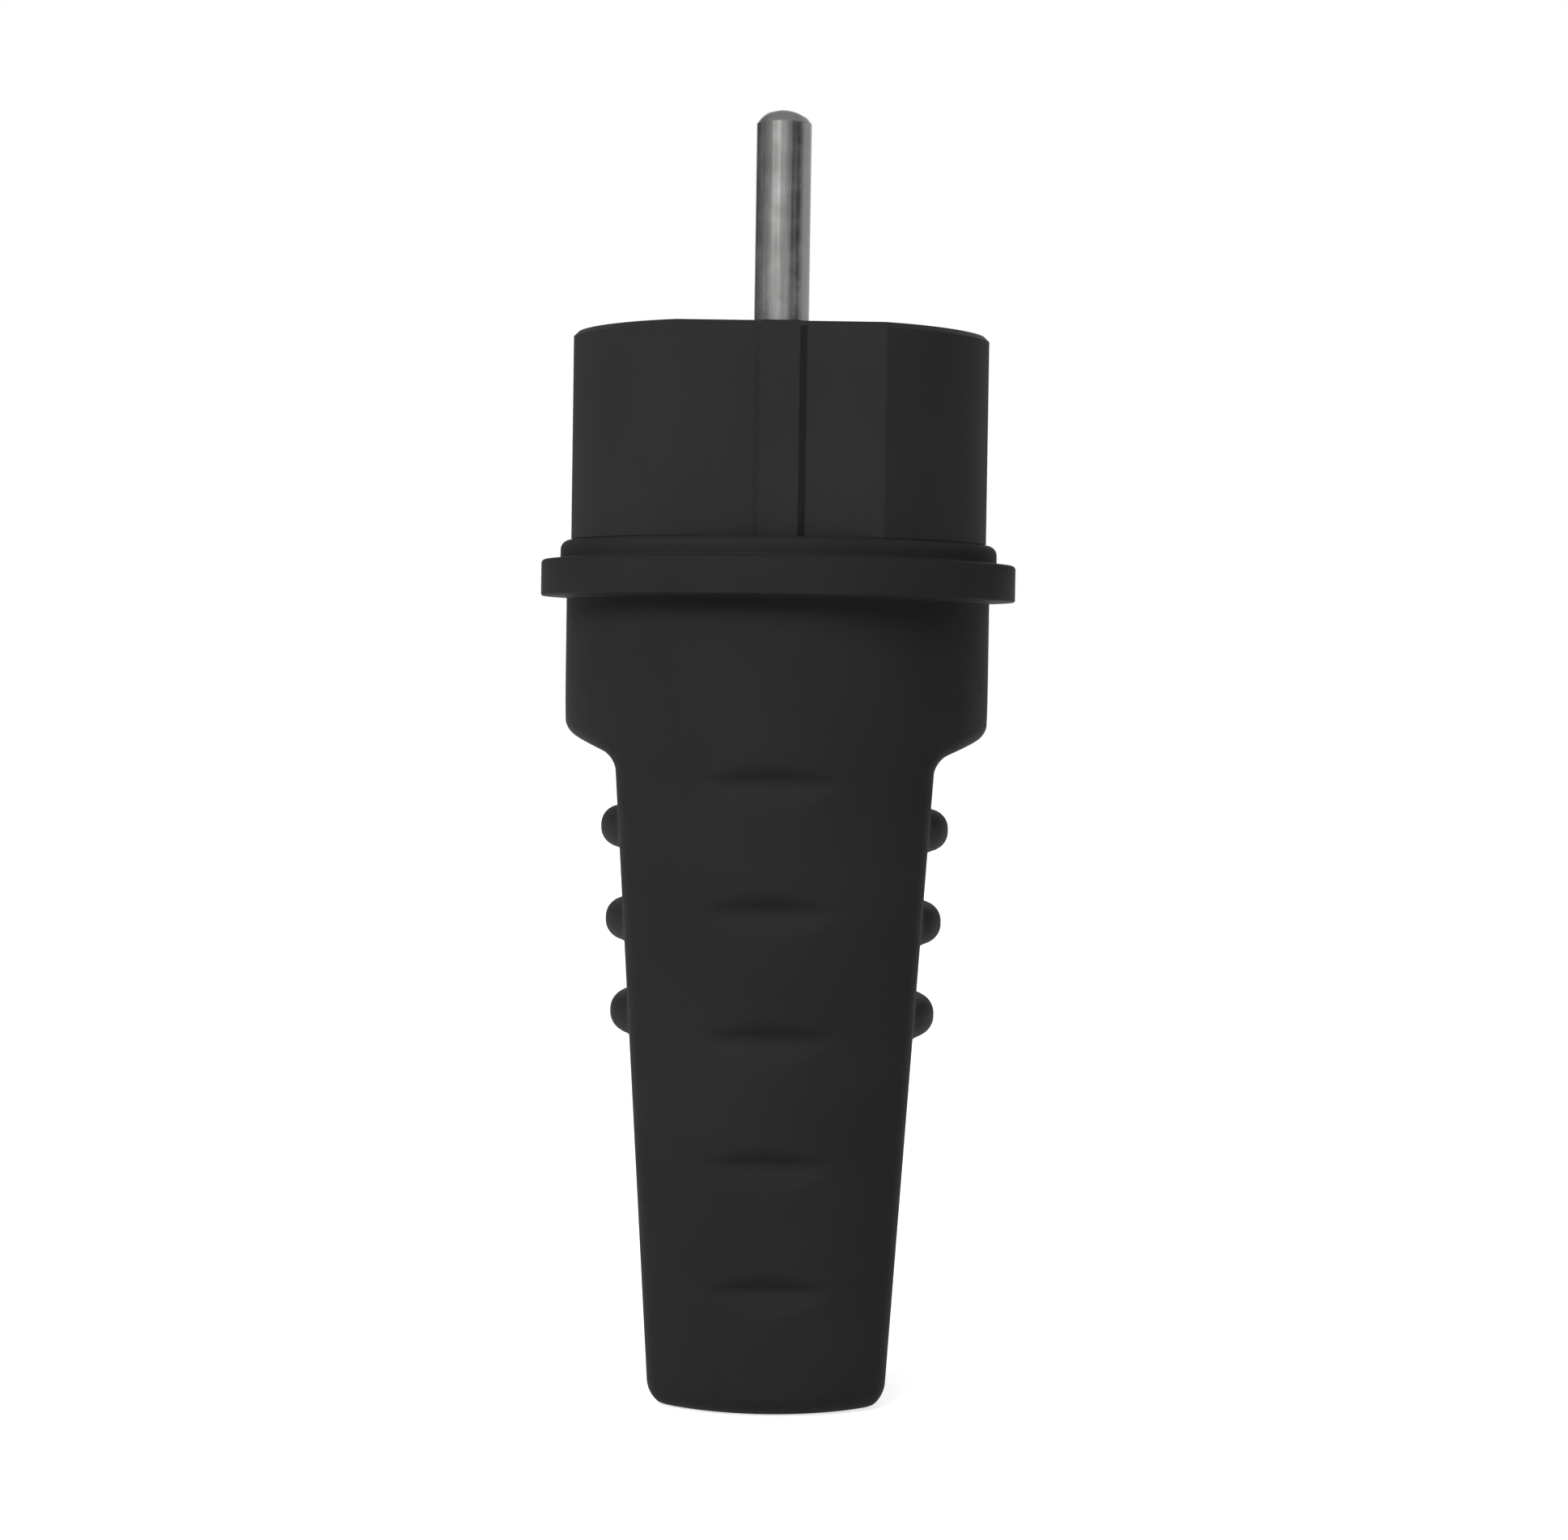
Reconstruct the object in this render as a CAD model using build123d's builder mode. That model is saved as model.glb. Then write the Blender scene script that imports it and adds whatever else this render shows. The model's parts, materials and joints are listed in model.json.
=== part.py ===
from build123d import *
import math
import os

os.makedirs("parts", exist_ok=True)

# A round two-pin rubber plug with side earth contacts, of the kind that its user wires.
# It stands on its cable end: Z runs up along the plug's axis towards the pins, the origin is the
# centre of the cable end, the pins lie side by side along Y and the earth contacts are at +X and -X.
# All sizes are in millimetres.

# Clearances
loose_fit = 0.3       # between pieces that are dropped in or screwed down
close_fit = 0.1       # round a piece that is guided by its seat
thread_fit = 0.05     # round a screw in its thread

# Contact pins
pin_diameter = 4.8
pin_length = 19.0            # in front of the face
pin_spacing = 19.0
pin_crown_radius = 2.75      # of the domed tip
pin_root_diameter = 5.6      # behind the face
pin_root_depth = 3.0         # from the face down to the pin's shoulder
pin_shank_diameter = 6.4
terminal_width = 7.6
terminal_length = 9.0
wire_hole_diameter = 3.4
wire_hole_depth = 7.5

# Terminal screws in the pins
terminal_screw_diameter = 3.0
terminal_screw_head_diameter = 4.6
terminal_screw_head_height = 1.5
screw_slot_width = 0.8

# Head of the contact carrier
head_diameter = 37.8
head_length = 18.4
head_edge_bevel = 0.5
flat_step = 2.3              # from the head's round side in to each flat
key_strip_width = 4.5        # at its root, on the flat
key_strip_height = 0.6
earth_recess_width = 9.0

# Contact carrier below the lip
neck_cover = 1.4             # from the terminal screws' heads out to the neck's side
neck_length = 8.1
lip_groove_step = 1.7        # from the neck's side out to the groove that holds the lip
collar_step = 0.7            # from the groove's floor out to the collar's side
collar_height = 1.6

# Rubber housing, outside
lip_height = 1.75
lip_wall = 1.6               # from the groove's floor out to the lip's side
lip_edge_bevel = 0.7
flange_height = 3.25
flange_reach = 2.3           # out from the housing's side
flange_edge_bevel = 0.35
housing_wall = 2.65          # round the carrier's neck
housing_length = 11.9        # from the shoulders' edge up to the flange
shoulder_slope = 25.0        # degrees
shoulder_root_radius = 2.4
grip_length = 59.1           # from the cable end up to the shoulders' edge
grip_end_diameter = 28.5     # front to back
grip_blend_radius = 30.0     # between the tapering grip and the round housing
grip_side_distance = 13.9    # from the axis to each flat side, at the shoulder
grip_side_end_distance = 10.36
grip_edge_radius = 2.8
grip_end_radius = 2.1

# Finger notches, front and back
notch_count = 5
notch_pitch = 11.0
notch_first = 11.0           # height of the lowest notch's valley
notch_depth = 1.05
notch_rise = 1.45            # from the valley up to the notch's upper edge
notch_fall = 2.5

# Side ribs
rib_count = 3
rib_pitch = 8.3
rib_first = 33.9             # height of the lowest rib
rib_height = 3.8
rib_reach = 2.1              # out from the grip's side
rib_edge_radius = 1.6

# Rubber housing, inside
cable_bore_diameter = 10.5
cable_bore_length = 20.0
funnel_diameter = 18.0
chamber_foot = 30.0          # height where the wiring space begins
chamber_foot_depth = 20.0
chamber_depth = 28.0
chamber_corner_radius = 3.0
grip_wall = 2.7              # between the wiring space and each flat side

# Earth parts
strip_width = 8.0
strip_thickness = 0.8
strip_inset = 0.4            # from the neck's side in to the strip's outer face
strip_bend_radius = 1.4
strip_bulge = 0.9            # of each side contact, outwards
strip_bulge_radius = 16.0
strip_end_drop = 2.0         # from the face down to the strip's ends
earth_hole_distance = 10.0   # from the axis
earth_socket_bore = 4.95
earth_socket_diameter = 6.4
earth_socket_length = 18.0   # of its bore, from the face down
earth_socket_foot_diameter = 8.0
earth_socket_foot_height = 1.0
earth_screw_distance = 8.5
earth_screw_diameter = 3.5
earth_screw_length = 7.0     # above the washer
earth_screw_head_diameter = 6.5
earth_screw_head_height = 2.0
earth_washer_diameter = 7.6
earth_washer_thickness = 0.8

# Back cover and its tail
cover_thickness = 4.5
cover_screw_opening = 9.2
wire_way_diameter = 4.4
tail_thickness = 4.4
tail_gap = 6.4               # between the legs
tail_plate_height = 9.0
tail_foot = 39.0             # height of the tail's lower end
clamp_opening = 7.2          # between the two flat clamping faces
cable_seat_diameter = 10.4

# Centre screw and its square nut
centre_screw_diameter = 4.0
centre_screw_head_diameter = 7.0
centre_screw_head_height = 2.4
centre_screw_sink = 0.6      # from the face down to the head
centre_nut_width = 7.0
centre_nut_thickness = 2.2

# Cord clamp and its screws
clamp_height = 7.0
clamp_thickness = 3.8
clamp_edge_radius = 0.8
clamp_screw_spacing = 12.8
clamp_screw_diameter = 3.0
clamp_screw_head_diameter = 5.0
clamp_screw_head_height = 1.8
clamp_nut_width = 5.5        # across its flats
clamp_nut_thickness = 2.2

# Heights that follow from the sizes above
shoulder_z = grip_length
flange_z = shoulder_z + housing_length
lip_z = flange_z + flange_height
lip_top_z = lip_z + lip_height
face_z = lip_top_z + head_length
collar_foot_z = lip_z - collar_height
neck_foot_z = collar_foot_z - neck_length
cover_foot_z = neck_foot_z - cover_thickness
ledge_z = cover_foot_z - loose_fit
pin_shoulder_z = face_z - pin_root_depth
pin_foot_z = neck_foot_z + loose_fit
terminal_top_z = pin_foot_z + terminal_length
terminal_screw_z = pin_foot_z + terminal_length / 2
clamp_z = tail_foot + tail_plate_height / 2

# Distances from the axis and diameters that follow from the sizes above
pin_y = pin_spacing / 2
flat_distance = head_diameter / 2 - flat_step
terminal_face_y = pin_y + terminal_width / 2
neck_diameter = 2 * (terminal_face_y + terminal_screw_head_height + neck_cover)
lip_groove_diameter = neck_diameter + 2 * lip_groove_step
collar_diameter = lip_groove_diameter + 2 * collar_step
lip_diameter = lip_groove_diameter + 2 * (thread_fit + lip_wall)
housing_diameter = neck_diameter + 2 * (close_fit + housing_wall)
flange_diameter = housing_diameter + 2 * flange_reach
earth_recess_distance = neck_diameter / 2 - strip_inset - strip_thickness
strip_x = earth_recess_distance + strip_thickness / 2
tail_back_y = clamp_opening / 2 + tail_thickness
clamp_front_y = clamp_opening / 2 + clamp_thickness
reach = flange_diameter      # past every outer face, for cuts that come in from outside
both_sides = (-1, 1)


def grip_radius(z):
    """Radius of the grip's round front and back at a height."""
    share = z / shoulder_z
    return (grip_end_diameter + (housing_diameter - grip_end_diameter) * share) / 2


shoulder_drop = (housing_diameter / 2 - grip_side_distance) * math.tan(math.radians(shoulder_slope))
grip_side_top_z = shoulder_z - shoulder_drop
grip_side_slope = (grip_side_distance - grip_side_end_distance) / grip_side_top_z


def grip_side_x(z):
    """Distance from the axis to the grip's flat side at a height."""
    return grip_side_end_distance + grip_side_slope * z


chamber_width = 2 * (grip_side_distance - grip_wall)
chamber_foot_width = 2 * (grip_side_x(chamber_foot) - grip_wall)
tail_width = chamber_foot_width - 2 * loose_fit


def corner(sketch, x, y):
    """The corner of a sketch that lies nearest to a point of its own plane."""
    return sketch.vertices().sort_by_distance((x, y, 0))[0]


def slotted_screw(shank_diameter, shank_length, head_diameter, head_height):
    """A screw along Z, its head on the plane Z = 0 and its shank below it."""
    with BuildPart() as screw:
        Cylinder(head_diameter / 2, head_height, align=(Align.CENTER, Align.CENTER, Align.MIN))
        chamfer(screw.edges().group_by(Axis.Z)[-1], head_height / 6)
        Cylinder(shank_diameter / 2, shank_length, align=(Align.CENTER, Align.CENTER, Align.MAX))
        with Locations((0, 0, head_height)):
            Box(
                2 * head_diameter, screw_slot_width, head_height,
                align=(Align.CENTER, Align.CENTER, Align.CENTER), mode=Mode.SUBTRACT,
            )
    return screw.part


# Rubber housing: the space inside its grip, where the cores spread out
with BuildPart() as wiring_space:
    with BuildSketch(Plane.XZ):
        Polygon(
            (-chamber_foot_width / 2, chamber_foot), (chamber_foot_width / 2, chamber_foot),
            (chamber_width / 2, ledge_z), (-chamber_width / 2, ledge_z), align=None,
        )
    extrude(amount=chamber_depth, both=True)
    with BuildSketch(Plane.YZ):
        Polygon(
            (-chamber_foot_depth / 2, chamber_foot), (chamber_foot_depth / 2, chamber_foot),
            (chamber_depth / 2, ledge_z), (-chamber_depth / 2, ledge_z), align=None,
        )
    extrude(amount=chamber_width, both=True, mode=Mode.INTERSECT)
    steep = wiring_space.edges().filter_by(lambda e: e.bounding_box().size.Z > loose_fit)
    fillet(steep, chamber_corner_radius)

# Rubber housing: one moulding, with its lip, flange, shoulders, tapering grip, notches and ribs
with BuildPart() as rubber_housing:
    with BuildSketch(Plane.XZ) as envelope:
        with BuildLine():
            Polyline(
                (0, 0), (grip_end_diameter / 2, 0), (housing_diameter / 2, shoulder_z),
                (housing_diameter / 2, flange_z), (flange_diameter / 2, flange_z),
                (flange_diameter / 2, lip_z), (lip_diameter / 2, lip_z),
                (lip_diameter / 2, lip_top_z), (0, lip_top_z), close=True,
            )
        make_face()
        fillet(corner(envelope, housing_diameter / 2, shoulder_z), grip_blend_radius)
        chamfer(corner(envelope, flange_diameter / 2, flange_z), flange_edge_bevel)
        chamfer(corner(envelope, flange_diameter / 2, lip_z), flange_edge_bevel)
        chamfer(corner(envelope, lip_diameter / 2, lip_top_z), lip_edge_bevel)
    revolve(axis=Axis.Z)

    # The two flat sides of the grip, under their sloping shoulders
    with BuildSketch(Plane.XZ) as side_cut:
        with BuildLine():
            Polyline(
                (reach, shoulder_z + (reach - housing_diameter / 2) * math.tan(math.radians(shoulder_slope))),
                (grip_side_distance, grip_side_top_z),
                (grip_side_x(-reach), -reach), (reach, -reach), close=True,
            )
        make_face()
        fillet(corner(side_cut, grip_side_distance, grip_side_top_z), shoulder_root_radius)
        mirror(about=Plane.YZ)
    extrude(amount=reach, both=True, mode=Mode.SUBTRACT)
    rims = edges(Select.LAST).filter_by(lambda e: e.bounding_box().size.Z > loose_fit)
    fillet(rims, grip_edge_radius)
    fillet(rubber_housing.edges().group_by(Axis.Z)[0], grip_end_radius)

    # Side ribs: rings round the axis, which stand out of the two flat sides only
    with BuildSketch(Plane.XZ):
        for rib in range(rib_count):
            rib_z = rib_first + rib * rib_pitch
            with Locations((grip_side_x(rib_z), rib_z)):
                with BuildSketch(mode=Mode.PRIVATE) as rib_section:
                    Rectangle(2 * rib_reach, rib_height)
                    fillet(corner(rib_section, rib_reach, rib_height / 2), rib_edge_radius)
                    fillet(corner(rib_section, rib_reach, -rib_height / 2), rib_edge_radius)
                add(rib_section.sketch)
    revolve(axis=Axis.Z)

    # Lens-shaped notches: a straight valley across the round front and back
    for notch in range(notch_count):
        valley_z = notch_first + notch * notch_pitch
        valley_y = grip_radius(valley_z) - notch_depth
        with BuildSketch(Plane.YZ):
            for side in both_sides:
                with BuildLine():
                    Polyline(
                        (side * valley_y, valley_z),
                        (side * (valley_y + 2 * notch_depth), valley_z + 2 * notch_rise),
                        (side * (valley_y + 2 * notch_depth), valley_z - 2 * notch_fall),
                        close=True,
                    )
                make_face()
        extrude(amount=reach, both=True, mode=Mode.SUBTRACT)

    # Seat of the contact carrier, the wiring space, and the cable's way in
    with BuildSketch(Plane.XZ):
        with BuildLine():
            Polyline(
                (0, lip_top_z), (lip_groove_diameter / 2 + thread_fit, lip_top_z),
                (lip_groove_diameter / 2 + thread_fit, lip_z),
                (collar_diameter / 2 + close_fit, lip_z),
                (collar_diameter / 2 + close_fit, collar_foot_z),
                (neck_diameter / 2 + close_fit, collar_foot_z),
                (neck_diameter / 2 + close_fit, ledge_z), (0, ledge_z), close=True,
            )
        make_face()
        with BuildLine():
            Polyline(
                (0, 0), (cable_bore_diameter / 2, 0), (cable_bore_diameter / 2, cable_bore_length),
                (funnel_diameter / 2, chamber_foot), (0, chamber_foot), close=True,
            )
        make_face()
    revolve(axis=Axis.Z, mode=Mode.SUBTRACT)
    add(wiring_space.part, mode=Mode.SUBTRACT)

rubber_housing.part.label = "rubber_housing"
export_step(rubber_housing.part, "parts/rubber_housing.step")

# Contact carrier: the rigid head with its collar and neck, one moulding
with BuildPart() as contact_carrier:
    with BuildSketch(Plane.XZ):
        with BuildLine():
            Polyline(
                (0, neck_foot_z), (neck_diameter / 2, neck_foot_z), (neck_diameter / 2, collar_foot_z),
                (collar_diameter / 2, collar_foot_z), (collar_diameter / 2, lip_z - close_fit),
                (lip_groove_diameter / 2, lip_z - close_fit), (lip_groove_diameter / 2, lip_top_z),
                (0, lip_top_z), close=True,
            )
        make_face()
    revolve(axis=Axis.Z)
    with BuildSketch(Plane.XY.offset(lip_top_z)):
        Circle(head_diameter / 2)
        Rectangle(2 * head_diameter, 2 * flat_distance, mode=Mode.INTERSECT)

        # A low strip with sloping sides up the middle of each flat
        for side in both_sides:
            with BuildLine():
                Polyline(
                    (key_strip_width / 2, side * flat_distance),
                    (key_strip_width / 2 - key_strip_height, side * (flat_distance + key_strip_height)),
                    (-key_strip_width / 2 + key_strip_height, side * (flat_distance + key_strip_height)),
                    (-key_strip_width / 2, side * flat_distance), close=True,
                )
            make_face()
    extrude(amount=head_length)
    chamfer(contact_carrier.edges().group_by(Axis.Z)[-1], head_edge_bevel)

    # The recesses of the side earth contacts, and the way of the earth strip's arms to them
    recess_depth = reach - earth_recess_distance
    recess_middle = earth_recess_distance + recess_depth / 2
    arm_way_width = strip_width + 2 * close_fit
    arm_way_depth = strip_thickness + strip_bulge + close_fit
    with BuildSketch(Plane.XY.offset(lip_top_z)):
        with Locations((-recess_middle, 0), (recess_middle, 0)):
            Rectangle(recess_depth, earth_recess_width)
    extrude(amount=reach, mode=Mode.SUBTRACT)
    with BuildSketch(Plane.XY.offset(neck_foot_z)):
        for side in both_sides:
            with Locations((side * (earth_recess_distance + arm_way_depth / 2), 0)):
                Rectangle(arm_way_depth, arm_way_width)
    extrude(amount=lip_top_z - neck_foot_z, mode=Mode.SUBTRACT)
    bend_room = strip_bend_radius - strip_thickness / 2 + close_fit
    with BuildSketch(Plane.XZ):
        for side in both_sides:
            with BuildLine():
                Polyline(
                    (side * earth_recess_distance, neck_foot_z),
                    (side * earth_recess_distance, neck_foot_z + bend_room),
                    (side * (earth_recess_distance - bend_room), neck_foot_z), close=True,
                )
            make_face()
    extrude(amount=arm_way_width / 2, both=True, mode=Mode.SUBTRACT)

    # The pins: a close hole at the face, room for the shank, and a pocket for the terminal block
    with BuildSketch(Plane.XY.offset(face_z)):
        with GridLocations(0, pin_spacing, 1, 2):
            Circle(pin_root_diameter / 2 + close_fit)
    extrude(amount=-pin_root_depth, mode=Mode.SUBTRACT)
    with BuildSketch(Plane.XY.offset(pin_shoulder_z)):
        with GridLocations(0, pin_spacing, 1, 2):
            Circle(pin_shank_diameter / 2 + close_fit)
    extrude(amount=terminal_top_z - pin_shoulder_z, mode=Mode.SUBTRACT)
    with BuildSketch(Plane.XY.offset(neck_foot_z)):
        with GridLocations(0, pin_spacing, 1, 2):
            Rectangle(terminal_width + 2 * close_fit, terminal_width + 2 * close_fit)
    extrude(amount=terminal_top_z - neck_foot_z, mode=Mode.SUBTRACT)

    # Access to each terminal screw from the side, which the rubber housing covers
    for side in both_sides:
        screw_axis = Plane(origin=(0, side * pin_y, terminal_screw_z), x_dir=(1, 0, 0), z_dir=(0, side, 0))
        with BuildSketch(screw_axis):
            Circle(terminal_screw_head_diameter / 2 + loose_fit)
        extrude(amount=reach, mode=Mode.SUBTRACT)

    # The centre screw, the earth terminal screw and the earth socket
    with Locations((0, 0, face_z)):
        CounterBoreHole(
            centre_screw_diameter / 2 + close_fit, centre_screw_head_diameter / 2 + loose_fit,
            centre_screw_sink + centre_screw_head_height,
        )
    with BuildSketch(Plane.XY.offset(neck_foot_z)):
        with Locations((-earth_screw_distance, 0)):
            Circle(earth_screw_diameter / 2 + close_fit)
    extrude(amount=earth_screw_length + loose_fit, mode=Mode.SUBTRACT)
    with BuildSketch(Plane.XY.offset(neck_foot_z)):
        with Locations((earth_hole_distance, 0)):
            Circle(earth_socket_foot_diameter / 2 + close_fit)
    extrude(amount=earth_socket_foot_height, mode=Mode.SUBTRACT)
    with BuildSketch(Plane.XY.offset(neck_foot_z)):
        with Locations((earth_hole_distance, 0)):
            Circle(earth_socket_diameter / 2 + close_fit)
    extrude(amount=face_z - neck_foot_z, mode=Mode.SUBTRACT)

contact_carrier.part.label = "contact_carrier"
export_step(contact_carrier.part, "parts/contact_carrier.step")


def contact_pin(side):
    """A round pin with its shank and its square terminal block, on one side of the plug's axis."""
    with BuildPart() as pin:
        axis_plane = Plane(origin=(0, side * pin_y, 0), x_dir=(1, 0, 0), z_dir=(0, -1, 0))
        tip_z = face_z + pin_length
        crown_angle = math.degrees(math.asin(pin_diameter / 2 / pin_crown_radius))
        crown_edge_z = tip_z - pin_crown_radius * (1 - math.cos(math.radians(crown_angle)))
        with BuildSketch(axis_plane):
            with BuildLine():
                CenterArc((0, tip_z - pin_crown_radius), pin_crown_radius, 90 - crown_angle, crown_angle)
                Polyline(
                    (0, tip_z), (0, terminal_top_z), (pin_shank_diameter / 2, terminal_top_z),
                    (pin_shank_diameter / 2, pin_shoulder_z), (pin_root_diameter / 2, pin_shoulder_z),
                    (pin_root_diameter / 2, face_z), (pin_diameter / 2, face_z),
                    (pin_diameter / 2, crown_edge_z),
                )
            make_face()
        revolve(axis=Axis((0, side * pin_y, 0), (0, 0, 1)))
        with BuildSketch(Plane.XY.offset(pin_foot_z)):
            with Locations((0, side * pin_y)):
                Rectangle(terminal_width, terminal_width)
        extrude(amount=terminal_length)
        with BuildSketch(Plane.XY.offset(pin_foot_z)):
            with Locations((0, side * pin_y)):
                Circle(wire_hole_diameter / 2)
        extrude(amount=wire_hole_depth, mode=Mode.SUBTRACT)
        screw_axis = Plane(origin=(0, side * pin_y, terminal_screw_z), x_dir=(1, 0, 0), z_dir=(0, side, 0))
        with BuildSketch(screw_axis):
            Circle(terminal_screw_diameter / 2 + thread_fit)
        extrude(amount=terminal_width, mode=Mode.SUBTRACT)
    return pin.part


def terminal_screw(side):
    """The screw that clamps the wire in a pin's terminal block, from the side."""
    screw_place = Plane(
        origin=(0, side * terminal_face_y, terminal_screw_z), x_dir=(1, 0, 0), z_dir=(0, side, 0),
    )
    shank_length = terminal_width / 2 - thread_fit
    screw = slotted_screw(
        terminal_screw_diameter, shank_length, terminal_screw_head_diameter, terminal_screw_head_height,
    )
    return screw_place.location * screw


for pin_name, side in (("live", -1), ("neutral", 1)):
    piece = contact_pin(side)
    piece.label = pin_name + "_pin"
    export_step(piece, f"parts/{pin_name}_pin.step")
    piece = terminal_screw(side)
    piece.label = pin_name + "_terminal_screw"
    export_step(piece, f"parts/{pin_name}_terminal_screw.step")

# Earth strip: one bent strip, a bar across the neck's foot and a sprung contact up each side
bar_z = neck_foot_z - strip_thickness / 2
strip_top_z = face_z - strip_end_drop
contact_low_z = lip_top_z + strip_bulge
contact_middle_z = (contact_low_z + strip_top_z) / 2
with BuildPart() as earth_strip:
    with BuildLine(Plane.XZ):
        FilletPolyline(
            (strip_x, strip_top_z), (strip_x + strip_bulge, contact_middle_z), (strip_x, contact_low_z),
            (strip_x, bar_z), (-strip_x, bar_z),
            (-strip_x, contact_low_z), (-strip_x - strip_bulge, contact_middle_z), (-strip_x, strip_top_z),
            radius=[
                strip_bulge_radius, strip_bulge_radius, strip_bend_radius,
                strip_bend_radius, strip_bulge_radius, strip_bulge_radius,
            ],
        )
    with BuildSketch(Plane(
        origin=(strip_x, 0, strip_top_z), x_dir=(0, 1, 0),
        z_dir=(strip_bulge, 0, contact_middle_z - strip_top_z),
    )):
        Rectangle(strip_width, strip_thickness)
    sweep()
    with BuildSketch(Plane.XY.offset(neck_foot_z)):
        Circle(centre_screw_diameter / 2 + close_fit)
        with Locations((-earth_screw_distance, 0)):
            Circle(earth_screw_diameter / 2 + thread_fit)
    extrude(amount=-2 * strip_thickness, mode=Mode.SUBTRACT)

earth_strip.part.label = "earth_strip"
export_step(earth_strip.part, "parts/earth_strip.step")

# Earth socket: a turned sleeve on a solid stem, with a foot that stands on the earth strip's bar
with BuildPart() as earth_socket:
    with BuildSketch(Plane.XZ):
        with BuildLine():
            Polyline(
                (0, neck_foot_z), (earth_socket_foot_diameter / 2, neck_foot_z),
                (earth_socket_foot_diameter / 2, neck_foot_z + earth_socket_foot_height - close_fit),
                (earth_socket_diameter / 2, neck_foot_z + earth_socket_foot_height - close_fit),
                (earth_socket_diameter / 2, face_z), (earth_socket_bore / 2, face_z),
                (earth_socket_bore / 2, face_z - earth_socket_length),
                (0, face_z - earth_socket_length), close=True,
            )
        make_face()
    revolve(axis=Axis.Z)

socket = Pos(earth_hole_distance, 0, 0) * earth_socket.part
socket.label = "earth_socket"
export_step(socket, "parts/earth_socket.step")

# Earth terminal: a washer under the strip's bar, and its screw from below
washer_foot_z = neck_foot_z - strip_thickness - earth_washer_thickness
with BuildPart() as earth_terminal_washer:
    with BuildSketch(Plane.XY.offset(washer_foot_z)):
        with Locations((-earth_screw_distance, 0)):
            Circle(earth_washer_diameter / 2)
            Circle(earth_screw_diameter / 2 + close_fit, mode=Mode.SUBTRACT)
    extrude(amount=earth_washer_thickness)

earth_terminal_washer.part.label = "earth_terminal_washer"
export_step(earth_terminal_washer.part, "parts/earth_terminal_washer.step")

earth_screw_place = Plane(origin=(-earth_screw_distance, 0, washer_foot_z), x_dir=(1, 0, 0), z_dir=(0, 0, -1))
earth_screw_shank = earth_screw_length + strip_thickness + earth_washer_thickness
earth_terminal_screw = earth_screw_place.location * slotted_screw(
    earth_screw_diameter, earth_screw_shank, earth_screw_head_diameter, earth_screw_head_height,
)
earth_terminal_screw.label = "earth_terminal_screw"
export_step(earth_terminal_screw, "parts/earth_terminal_screw.step")

# Back cover: a round plate behind the terminals, with two legs that carry the clamp's fixed half
with BuildPart() as back_cover:
    with BuildSketch(Plane.XY.offset(cover_foot_z)):
        Circle(neck_diameter / 2)
    extrude(amount=cover_thickness)
    with BuildSketch(Plane.XY.offset(tail_foot)):
        with Locations((0, clamp_opening / 2)):
            Rectangle(tail_width, tail_thickness, align=(Align.CENTER, Align.MIN))
    extrude(amount=cover_foot_z - tail_foot)
    with BuildSketch(Plane.XY.offset(cover_foot_z)):
        Rectangle(tail_gap, reach)
    extrude(amount=tail_foot + tail_plate_height - cover_foot_z, mode=Mode.SUBTRACT)
    with BuildSketch(Plane.XY.offset(tail_foot)):
        Circle(cable_seat_diameter / 2)
    extrude(amount=cover_foot_z - tail_foot, mode=Mode.SUBTRACT)

    # Ways for the wires, the earth terminal and the strip's bar, and the square nut's pocket
    with BuildSketch(Plane.XY.offset(cover_foot_z)):
        with GridLocations(0, pin_spacing, 1, 2):
            Circle(wire_way_diameter / 2)
        with Locations((-earth_screw_distance, 0)):
            Circle(cover_screw_opening / 2)
        Circle(centre_screw_diameter / 2 + close_fit)
    extrude(amount=cover_thickness, mode=Mode.SUBTRACT)
    with BuildSketch(Plane.XY.offset(neck_foot_z)):
        Rectangle(reach, strip_width + 2 * close_fit)
    extrude(amount=-strip_thickness, mode=Mode.SUBTRACT)
    with BuildSketch(Plane.XY.offset(cover_foot_z)):
        Rectangle(centre_nut_width + 2 * close_fit, centre_nut_width + 2 * close_fit)
    extrude(amount=centre_nut_thickness, mode=Mode.SUBTRACT)

    # The clamp screws' holes, with a pocket for each hexagon nut in the tail's back
    tail_face = Plane(origin=(0, clamp_opening / 2, clamp_z), x_dir=(1, 0, 0), z_dir=(0, 1, 0))
    with BuildSketch(tail_face):
        with GridLocations(clamp_screw_spacing, 0, 2, 1):
            Circle(clamp_screw_diameter / 2 + close_fit)
    extrude(amount=tail_thickness, mode=Mode.SUBTRACT)
    with BuildSketch(tail_face.offset(tail_thickness)):
        with GridLocations(clamp_screw_spacing, 0, 2, 1):
            RegularPolygon(clamp_nut_width / 2 + close_fit, 6, major_radius=False, rotation=30)
    extrude(amount=-clamp_nut_thickness, mode=Mode.SUBTRACT)

back_cover.part.label = "back_cover"
export_step(back_cover.part, "parts/back_cover.step")

# Centre screw, down through the carrier and the strip into its nut in the back cover
centre_head_foot_z = face_z - centre_screw_sink - centre_screw_head_height
centre_screw_length = centre_head_foot_z - cover_foot_z
centre_screw = Pos(0, 0, centre_head_foot_z) * slotted_screw(
    centre_screw_diameter, centre_screw_length, centre_screw_head_diameter, centre_screw_head_height,
)
centre_screw.label = "centre_screw"
export_step(centre_screw, "parts/centre_screw.step")

with BuildPart() as centre_nut:
    with BuildSketch(Plane.XY.offset(cover_foot_z)):
        Rectangle(centre_nut_width, centre_nut_width)
        Circle(centre_screw_diameter / 2 + thread_fit, mode=Mode.SUBTRACT)
    extrude(amount=centre_nut_thickness)

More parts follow.
